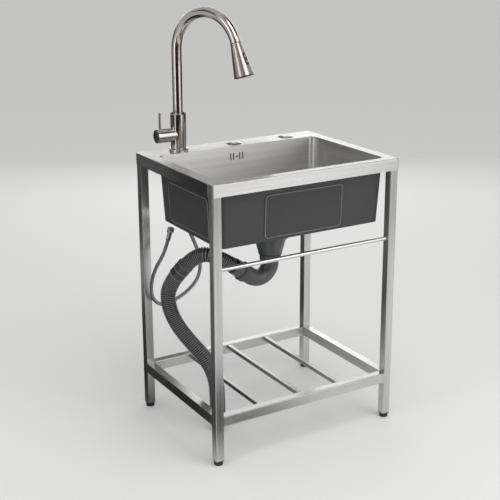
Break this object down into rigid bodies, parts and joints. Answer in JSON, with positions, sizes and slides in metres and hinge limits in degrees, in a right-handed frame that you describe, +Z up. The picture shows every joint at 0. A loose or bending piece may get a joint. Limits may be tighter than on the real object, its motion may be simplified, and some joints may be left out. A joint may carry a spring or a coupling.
{
  "type": "portable sink",
  "caption": "Free-standing steel sink: square legs, slatted shelf, towel bar, deep bowl with lift-out basket, tall pull-out tap, trap and ribbed drain hose.",
  "frame": {"origin": "on the floor below the middle of the sink top, at the feet's undersides", "axes": "+Z up, +X along the width to the user's right, -Y towards the user at the front"},
  "size_m": [0.6016, 0.46, 1.2179],
  "materials": {
    "steel": "fine brushed stainless steel",
    "bowl_steel": "brushed stainless steel, matt outside",
    "drain_steel": "polished stainless steel",
    "sound_pad": "dull charcoal with a fine dotted pattern",
    "bright_metal": "plated, bright",
    "black_plastic": "matt black",
    "foot_rubber": "matt black",
    "gasket_rubber": "matt black",
    "drain_plastic": "satin, dark bluish grey",
    "hose_plastic": "satin, near-black grey",
    "nickel": "brushed nickel, slightly warm",
    "dark_trim": "glossy black",
    "button_trim": "silver",
    "inner_hose": "grey nylon braid",
    "braid": "bright steel-wire braid",
    "ringed_nut": "plated, with a blue ring"
  },
  "bodies": {
    "frame": {"sink_top": "steel", "leg_front_left": "steel", "leg_front_right": "steel", "leg_back_left": "steel", "leg_back_right": "steel", "leg_sockets": "steel", "shelf_rail_front": "steel", "shelf_rail_back": "steel", "shelf_rail_left": "steel", "shelf_rail_right": "steel", "shelf_slat_1": "steel", "shelf_slat_2": "steel", "shelf_slat_3": "steel", "towel_bar": "steel", "bowl": "bowl_steel", "strainer_body": "drain_steel", "sound_pad_front": "sound_pad", "sound_pad_back": "sound_pad", "sound_pad_left": "sound_pad", "sound_pad_right": "sound_pad", "leg_screws": "bright_metal", "strainer_screw": "bright_metal", "overflow_screw": "bright_metal", "hole_caps": "bright_metal", "supply_ferrule_top": "bright_metal", "supply_ferrule_end": "bright_metal", "tap_shank": "bright_metal", "leg_plugs": "black_plastic", "tap_nut": "black_plastic", "cap_nuts": "black_plastic", "drain_gasket": "gasket_rubber", "drain_cup": "drain_plastic", "drain_nut": "drain_plastic", "trap_bend": "drain_plastic", "trap_nut": "drain_plastic", "hose_cuff": "drain_plastic", "overflow_box": "drain_plastic", "drain_hose": "hose_plastic", "hose_joiner": "hose_plastic", "overflow_hose": "hose_plastic", "tap_base": "nickel", "tap_body": "nickel", "supply_hose": "braid", "supply_nut": "ringed_nut"},
    "tap_spout": {"spout": "nickel", "spray_hose": "inner_hose"},
    "tap_head": {"spray_head": "nickel", "spray_face": "dark_trim", "spray_panel": "dark_trim"},
    "button_upper": {"spray_button_upper": "button_trim"},
    "button_lower": {"spray_button_lower": "button_trim"},
    "tap_handle": {"handle_knob": "nickel", "handle_lever": "nickel", "handle_cap": "dark_trim"},
    "waste_basket": {"basket": "drain_steel"},
    "foot_front_left_body": {"foot_front_left": "foot_rubber"},
    "foot_front_right_body": {"foot_front_right": "foot_rubber"},
    "foot_back_left_body": {"foot_back_left": "foot_rubber"},
    "foot_back_right_body": {"foot_back_right": "foot_rubber"}
  },
  "joints": [
    {"name": "spout_swivel", "type": "hinge", "parent": "frame", "child": "tap_spout", "pos_m": [-0.18, 0.191, 0.9], "axis": [0, 0, 1], "range_deg": [-180, 180]},
    {"name": "head_pull_out", "type": "slide", "parent": "tap_spout", "child": "tap_head", "axis": [0.1107, -0.2885, -0.9511], "range_m": [0, 0.075]},
    {"name": "button_upper_press", "type": "slide", "parent": "tap_head", "child": "button_upper", "axis": [-0.3219, 0.8385, -0.4397], "range_m": [0, 0.0007], "stiffness_N_per_m": 400},
    {"name": "button_lower_press", "type": "slide", "parent": "tap_head", "child": "button_lower", "axis": [-0.3219, 0.8385, -0.4397], "range_m": [0, 0.0007], "stiffness_N_per_m": 400},
    {"name": "handle_turn", "type": "hinge", "parent": "frame", "child": "tap_handle", "pos_m": [-0.218, 0.191, 0.848], "axis": [1, 0, 0], "range_deg": [0, 90]},
    {"name": "basket_lift", "type": "slide", "parent": "frame", "child": "waste_basket", "axis": [0, 0, 1], "range_m": [0, 0.12]},
    {"name": "foot_front_left_screw_out", "type": "slide", "parent": "frame", "child": "foot_front_left_body", "axis": [0, 0, -1], "range_m": [0, 0.012]},
    {"name": "foot_front_right_screw_out", "type": "slide", "parent": "frame", "child": "foot_front_right_body", "axis": [0, 0, -1], "range_m": [0, 0.012]},
    {"name": "foot_back_left_screw_out", "type": "slide", "parent": "frame", "child": "foot_back_left_body", "axis": [0, 0, -1], "range_m": [0, 0.012]},
    {"name": "foot_back_right_screw_out", "type": "slide", "parent": "frame", "child": "foot_back_right_body", "axis": [0, 0, -1], "range_m": [0, 0.012]}
  ]
}
